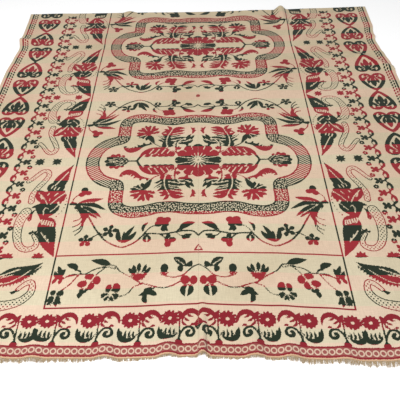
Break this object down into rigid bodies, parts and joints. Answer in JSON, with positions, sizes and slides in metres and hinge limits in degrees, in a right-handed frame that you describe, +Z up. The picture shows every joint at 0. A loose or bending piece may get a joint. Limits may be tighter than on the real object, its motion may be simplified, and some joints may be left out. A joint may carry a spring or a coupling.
{
  "type": "jacquard coverlet",
  "caption": "Woven bed coverlet of loom widths joined at a centre seam, laid out flat with small folds, a turned back hem, plain selvedges and a short worn fringe along the front hem",
  "frame": {"origin": "middle of the footprint, on the surface that the coverlet lies on", "axes": "+X to the right of a viewer at the fringed end, +Y from the fringed front hem to the turned back hem, +Z up"},
  "size_m": [2.021, 2.2124, 0.0284],
  "materials": {
    "woven_cloth": "matt wool and cotton double weave, natural ground with red and dark green figures",
    "loose_yarn": "matt worn natural yarn"
  },
  "bodies": {
    "root": {"panel_left": "woven_cloth", "panel_right": "woven_cloth", "fringe_left": "loose_yarn", "fringe_right": "loose_yarn"}
  },
  "joints": []
}
